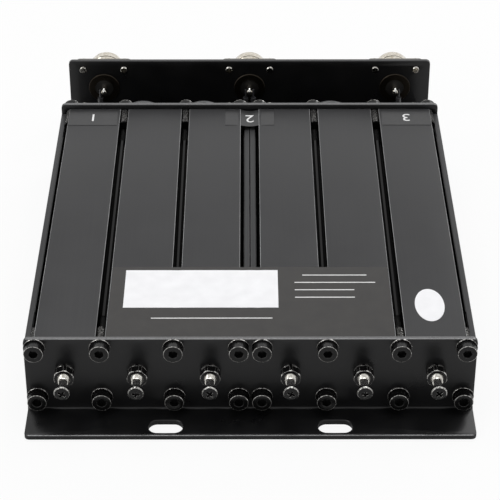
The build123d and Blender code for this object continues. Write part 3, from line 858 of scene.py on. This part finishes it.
def makeJacks():
    jack = lengths(
        flange=25.4, corner=2, thick=2, edge=0.15, screwHole=1.7, boss=6.95, bossReach=2.6,
        neck=6.6, neckEnd=4.4, barrel=7.9, root=7.35, pitch=1.058, reach=18, relief=0.5, tip=7.7,
        tipLength=3.8, bore=4.05, seat=9, dish=0.5, setback=2.5, pin=1.15, contact=1.5,
        socket=0.83, pinReach=4.2, slit=0.35, screwHead=2.85, screwHeight=2.3, screwShank=4.8,
    )
    whole = makeJackBody(jack)
    back = place["plateRear"] - jack["bossReach"]
    face = place["plateRear"] + jack["reach"] - jack["seat"]
    pin, contact, socket = jack["pin"], jack["contact"], jack["socket"]

    # the insulator is dished at its face
    rim = [(back, pin + 0.02 * mm), (back, 4 * mm), (face - 0.2 * mm, 4 * mm), (face, 3.8 * mm)]
    low = face - jack["dish"]
    dish = [(face, 1.9 * mm), (low, 1.7 * mm), (low, rim[0][1]), rim[0]]
    insulator = turned([*rim, *dish], 48)

    # the centre contact: slotted socket at the front, solder pin at the rear
    point = place["plateRear"] + jack["reach"] - jack["setback"]
    end = back - jack["pinReach"]
    tail = [(end, 0), (end, pin - 0.2 * mm), (end + 0.2 * mm, pin), (face, pin), (face, contact)]
    mouth = ((0.4, contact), (0, contact - 0.25 * mm), (0, socket + 0.12 * mm), (0.3, socket))
    sleeve = [(point - deep * mm, radius) for deep, radius in (*mouth, (5.5, socket), (5.9, 0))]
    centre = turned([*tail, *sleeve], 32)
    for size in ((3.4 * mm, jack["slit"]), (jack["slit"], 3.4 * mm)):
        cutAway(centre, bar((size[0], 8 * mm, size[1]), (0, point, 0)))

    for side, x in jacks.items():
        for obj, name, node, slotName, material in (
            (whole, "Jack", "connector", "nickel", jackPlate),
            (insulator, "Insulator", "insulator", "black_insulator", darkInsulator),
            (centre, "Contact", "contact", "nickel", nickelPlate),
        ):
            twin = copied(obj, (x, 0, place["jackHeight"]))
            finishPiece(twin, side + name, f"{side}_{node}", slotName, material)
    for obj in (whole, insulator, centre):
        bpy.data.objects.remove(obj)

    screw = turnedOver(makePanHead(jack["screwHead"], jack["screwHeight"], jack["screwShank"]))
    y = place["plateRear"] + jack["thick"] + jack["screwHeight"]
    spots = [(x + dx, y, place["jackHeight"] + dz) for x in jacks.values() for dx, dz in jackHoles]
    finishPiece(repeated(screw, spots), "jackScrews", "connector_screws", "nickel", zincWithPaintedGlints, 35)


makeJacks()
print("jacks done")


# Fittings and cables in the tray
def makeResonatorScrews():
    screw = lengths(head=2.85, height=2.3, shank=12)
    obj = turnedOver(makePanHead(screw["head"], screw["height"], screw["shank"]))
    y = place["trayFront"] + screw["height"]
    screws = repeated(obj, [(x, y, z) for x, z in cavityPoints])
    finishPiece(screws, "resonatorScrews", "resonator_screws", "black_steel", blackOxide, 35)


def cableLine(points, radius):
    # a curve through given points with a round section, made a mesh
    curve = bpy.data.curves.new("cable", "CURVE")
    curve.dimensions = "3D"
    curve.bevel_depth = radius
    curve.bevel_resolution = 4
    curve.resolution_u = 10
    curve.use_fill_caps = True
    spline = curve.splines.new("NURBS")
    spline.points.add(len(points) - 1)
    for point, spot in zip(spline.points, points):
        point.co = (*spot, 1)
    spline.order_u = 3
    spline.use_endpoint_u = True
    obj = bpy.data.objects.new("cable", curve)
    bpy.context.scene.collection.objects.link(obj)
    onlyActive(obj)
    bpy.ops.object.convert(target="MESH")
    return bpy.context.object


def makeHarness():
    harness = lengths(
        shift=7.5, apart=2.1, setback=6.4, top=18.5, under=13.5, radius=1.3, rises=(11, 11, 11, 8),
        pinEnd=4.8, wireShift=0.75, beside=1.67, low=5.2, stripped=17.3, wire=0.5,
        drop=(1.5, 0.72), block=(8, 9, 5), blockEdge=0.4,
    )
    y, top, r = place["trayFront"] + harness["setback"], harness["top"], harness["radius"]
    apart = harness["apart"]
    pairs, ends = [], []
    for group in (cavities[:3], cavities[3:]):
        first, second, third = [x + harness["shift"] for x in group]
        pairs += [(first + apart, second - apart), (second + apart, third - apart)]
        ends += [first - apart, third + apart]
    arcs = []
    for (a, b), rise in zip(pairs, harness["rises"]):
        middle, half = (a + b) / 2, (b - a) / 2
        points = [(a, y, top - 3 * mm)]
        for k in range(9):
            turn = math.pi * k / 8
            across, up = half * math.cos(turn) * 1.03, rise * math.sin(turn) * 1.03
            points.append((middle - across, y, top + up))
        arcs.append(cableLine([*points, (b, y, top - 3 * mm)], r))
    finishPiece(joined(arcs), "jumperCables", "jumper_cables", "cable_jacket", cableJacket, 50)

    # the leads go down from beside a jack pin, along the tray and up into their block
    pinEnd = place["trayRear"] - harness["pinEnd"]
    wireAt = pinEnd + harness["wireShift"]
    low, under, start = harness["low"], harness["under"], harness["stripped"]
    leads = (
        ("leftPort", "left_port", jacks["left"] - harness["beside"]),
        ("leftAntenna", "left_antenna", -harness["beside"]),
        ("rightAntenna", "right_antenna", harness["beside"]),
        ("rightPort", "right_port", jacks["right"] + harness["beside"]),
    )
    for (name, node, x), end in zip(leads, ends):
        down = [(x, wireAt, start), (x, wireAt, start - 3 * mm), (x, wireAt, low + 2 * mm)]
        over = [(x, wireAt - 3 * mm, low), (0.6 * x + 0.4 * end, 0.6 * wireAt + 0.4 * y, low)]
        rise = [(end, y + 4 * mm, low), (end, y, low + 2.5 * mm), (end, y, under)]
        jacket = cableLine([*down, *over, *rise, (end, y, under + 3 * mm)], r)
        heights = (start - 1 * mm, start + 2 * mm, start + 4.1 * mm)
        wire = cableLine([(x, wireAt, z) for z in heights], harness["wire"])
        lead = joined([jacket, wire])
        finishPiece(lead, f"{name}Lead", f"{node}_lead", "cable_jacket", cableJacket, 50)

    # a drop of solder lies sloping over the end of each pin
    long, wide = harness["drop"]
    outline = [(-long, 0), (-0.8 * long, 0.6 * wide), (-0.4 * long, 0.92 * wide), (0, wide)]
    drop = turned([*outline, *[(-along, across) for along, across in reversed(outline[:-1])]], 20)
    drop.rotation_euler = (math.radians(40), 0, 0)
    spots = [(x, pinEnd + 0.7 * mm, place["jackHeight"] + 0.8 * mm) for x in jacks.values()]
    drops = repeated(settled(drop), spots)
    finishPiece(drops, "solderDrops", None, "solder_brass", solder, 50)

    # solder blocks with a fillet of solder where each jumper enters
    size = harness["block"]
    block = bar(size, (0, place["trayFront"] + size[1] / 2, (top + under) / 2))
    softenEdges(block, harness["blockEdge"], 3)
    blocks = repeated(block, [(x + harness["shift"], 0, 0) for x in cavities])
    outline = [(0, r - 0.2 * mm), (0, r + 0.75 * mm), (0.25 * mm, r + 0.35 * mm)]
    tail = [(0.8 * mm, r + 0.05 * mm), (0.8 * mm, r - 0.2 * mm), (0, r - 0.2 * mm)]
    collar = turned([*outline, *tail], 24)
    collar.rotation_euler = (math.pi / 2, 0, 0)
    collars = repeated(settled(collar), [(x, y, top) for pair in pairs for x in pair])
    fittings = joined([blocks, collars])
    finishPiece(fittings, "couplingBlocks", "coupling_blocks", "solder_brass", tinnedBrass)


makeResonatorScrews()
makeHarness()
print("harness done")


# Labels
def sagged(obj, dips):
    # lowers what lies over each slot, which is given by its place, width and depth
    for vertex in obj.data.vertices:
        x = vertex.co.x
        vertex.co.z -= sum(deep * math.exp(-(((x - at) / wide) ** 2)) for at, wide, deep in dips)
    return obj


def filmSheet(size, middle, thick, cells, dips):
    # a thin film with its top at the middle's height, that sags over the slots below it
    bpy.ops.mesh.primitive_grid_add(x_subdivisions=cells[0], y_subdivisions=cells[1], size=1)
    obj = bpy.context.object
    obj.scale = (*size, 1)
    obj.location = middle
    settled(obj)
    applyModifier(sagged(obj, dips), "SOLIDIFY", thickness=thick, offset=-1)
    return obj


def printedNumber(words, size, middle):
    # a generic number that reads from the jack side
    bpy.ops.object.text_add()
    obj = bpy.context.object
    obj.data.body = words
    obj.data.align_x = "CENTER"
    obj.data.align_y = "CENTER"
    obj.data.size = size
    obj.data.extrude = 0.01 * mm
    bpy.ops.object.convert(target="MESH")
    obj = bpy.context.object
    obj.rotation_euler = (0, 0, math.pi)
    obj.location = middle
    return settled(obj)


def makeLabels():
    # places along the length are counted from the blocks' front, those of the port labels from
    # their rear
    label = lengths(
        film=0.12, rating=(103.4, 44.6), ratingY=23.3, insert=(56.8, 24.2), insertX=-18.1,
        insertY=31.3, port=(20.8, 13.2), portY=7.4, figure=8.4, sticker=(5.4, 10.15),
        stickerX=65.61, stickerY=20.9, dip=(1.6, 0.06), opening=(3.6, 0.7), rule=(0.55, 0.02),
    )
    slotsBelow = (-27.5, -2.9, 2.9, 27.5)
    ruleLines = ((31.5, 40.2, 24), (31.5, 35.4, 30), (27.5, 30.6, 22), (27.5, 25.8, 22))
    flats, film, front = place["flats"], label["film"], place["blockFront"]
    slots = [(x * mm, *label["dip"]) for x in slotsBelow]
    middle = (0, front + label["ratingY"], flats + film)
    rating = filmSheet(label["rating"], middle, film, (120, 40), slots)
    finishPiece(rating, "ratingLabel", "rating_label", "grey_film", labelFilm)
    middle = (label["insertX"], front + label["insertY"], flats + 1.95 * film)
    insert = filmSheet(label["insert"], middle, 0.9 * film, (60, 24), slots)
    finishPiece(insert, "labelInsert", "label_insert", "white_paper", labelPaper)

    opening, y = [(0, *label["opening"])], place["blockRear"] - label["portY"]
    ports = (("left", cavities[0], []), ("antenna", 0.0, opening), ("right", cavities[5], []))
    for figure, (side, x, dips) in enumerate(ports, start=1):
        sheet = filmSheet(label["port"], (x, y, flats + film), film, (48, 16), dips)
        finishPiece(sheet, f"{side}PortLabel", f"{side}_port_label", "grey_film", portFilm)
        number = printedNumber(str(figure), label["figure"], (x, y, flats + film + 0.03 * mm))
        finishPiece(sagged(number, dips), f"{side}PortNumber", None, "white_paper", whiteInk)

    sticker = turned([(0, 0), (0, 1.0), (film, 1.0), (film, 0)], 64)
    sticker.rotation_euler = (math.pi / 2, 0, 0)
    sticker.scale = (label["sticker"][0], 1, label["sticker"][1])
    sticker.location = (label["stickerX"], front + label["stickerY"], flats)
    finishPiece(sticker, "inspectionSticker", "inspection_sticker", "white_paper", labelPaper)

    # thin printed rules where the rating label has its lines
    wide, thick = label["rule"]
    rules = []
    for x, along, long in (*ruleLines, (-14, 12.7, 44)):
        spot = (x * mm, front + along * mm, flats + film + thick)
        rules.append(bar((long * mm, wide, thick), spot))
    finishPiece(joined(rules), "ratingRules", None, "white_paper", whiteInk)


makeLabels()
print("labels done")


# Nodes that keep their CAD shape
def dressNodes():
    finishes = {"coupling_beads": fluoropolymer, "coupling_loops": copper}
    finishes.update({f"resonator_{n}": brass for n in range(1, 7)})
    for name, material in finishes.items():
        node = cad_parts[name]
        node.data.materials.clear()
        node.data.materials.append(material)


dressNodes()
print("nodes dressed")


# Floor, light and camera
def makeFloor():
    # pale matte floor that the camera sees nearly white; under the body, within the half spans in
    # millimetres, it stays dark, so that no light shows through the joint between the blocks
    floor = {"size": 6.0, "colour": "#e9e9e9", "seen": 1.0, "shadow": 0.1, "halfSpans": (70, 100)}
    bpy.ops.mesh.primitive_plane_add(size=floor["size"], location=(0, 0, -0.2 * mm))
    obj = bpy.context.object
    obj.name = "paleFloor"
    material, add, fine = newMaterial("paleFloor")
    split = add("SeparateXYZ", None, {0: fine})
    across, along = [
        add("Math", {"operation": "COMPARE", 1: 0, 2: span}, {0: (split, axis)})
        for axis, span in zip("XY", floor["halfSpans"])
    ]
    under = add("Math", {"operation": "MULTIPLY"}, {0: across, 1: along})
    clear = add("Math", {"operation": "SUBTRACT", 0: 1}, {1: under})
    ray = add("LightPath")
    shown = add("Math", {"operation": "MULTIPLY"}, {0: (ray, "Is Camera Ray"), 1: clear})
    matte = add("BsdfDiffuse", {"Color": linear(floor["colour"])})
    seen = add("Emission", {"Color": linear("#ffffff"), "Strength": floor["seen"]})
    half = add("MixShader", {"Fac": floor["shadow"]}, {1: seen, 2: matte})
    shader = add("MixShader", None, {0: shown, 1: matte, 2: half})
    add("OutputMaterial", None, {"Surface": shader})
    obj.data.materials.append(material)


def makeWorld():
    # white to the camera, softer as a light
    strengths = {"camera": 1.0, "diffuse": 0.45, "glossy": 0.85}
    world = bpy.data.worlds.new("studio")
    world.use_nodes = True
    world.node_tree.nodes.clear()
    add = partial(addNode, world.node_tree)
    ray = add("LightPath")
    seen, light, mirrored = [
        add("Background", {"Color": linear("#ffffff"), "Strength": strength})
        for strength in strengths.values()
    ]
    mix = add("MixShader", None, {0: (ray, "Is Glossy Ray"), 1: light, 2: mirrored})
    mix = add("MixShader", None, {0: (ray, "Is Camera Ray"), 1: mix, 2: seen})
    add("OutputWorld", None, {"Surface": mix})
    bpy.context.scene.world = world


def makeLamp(name, spot, aim, size, power):
    bpy.ops.object.light_add(type="AREA", location=spot)
    lamp = bpy.context.object
    lamp.name = name
    lamp.data.shape = "RECTANGLE"
    lamp.data.size = size[0]
    lamp.data.size_y = size[1]
    lamp.data.energy = power
    lamp.rotation_euler = (Vector(aim) - Vector(spot)).to_track_quat("-Z", "Y").to_euler()


def makeCamera():
    # fitted to the photograph: angles in degrees, the spot in millimetres
    view = {"lens": 135.0, "down": 33.646, "turn": 0.098, "spot": (-1.056, -643.378, 428.410)}
    bpy.ops.object.camera_add(location=[c * mm for c in view["spot"]])
    camera = bpy.context.object
    camera.data.lens = view["lens"]
    camera.data.sensor_width = 36.0
    camera.rotation_euler = (math.radians(90 - view["down"]), 0, math.radians(-view["turn"]))
    bpy.context.scene.camera = camera


makeFloor()
makeWorld()
# name, place, what it faces, width and height in metres, and watts
makeLamp("overhead", (0, 0.25, 1.2), (0, 0, 0), (1.2, 0.9), 9.0)
makeLamp("frontLeft", (-0.9, -0.7, 0.7), (0, -0.05, 0), (0.6, 0.6), 2.5)
makeLamp("rearRight", (0.8, 0.8, 0.7), (0, 0, 0), (0.6, 0.6), 3.0)
makeCamera()
bpy.context.scene.view_settings.view_transform = "Standard"
print("stage ready")
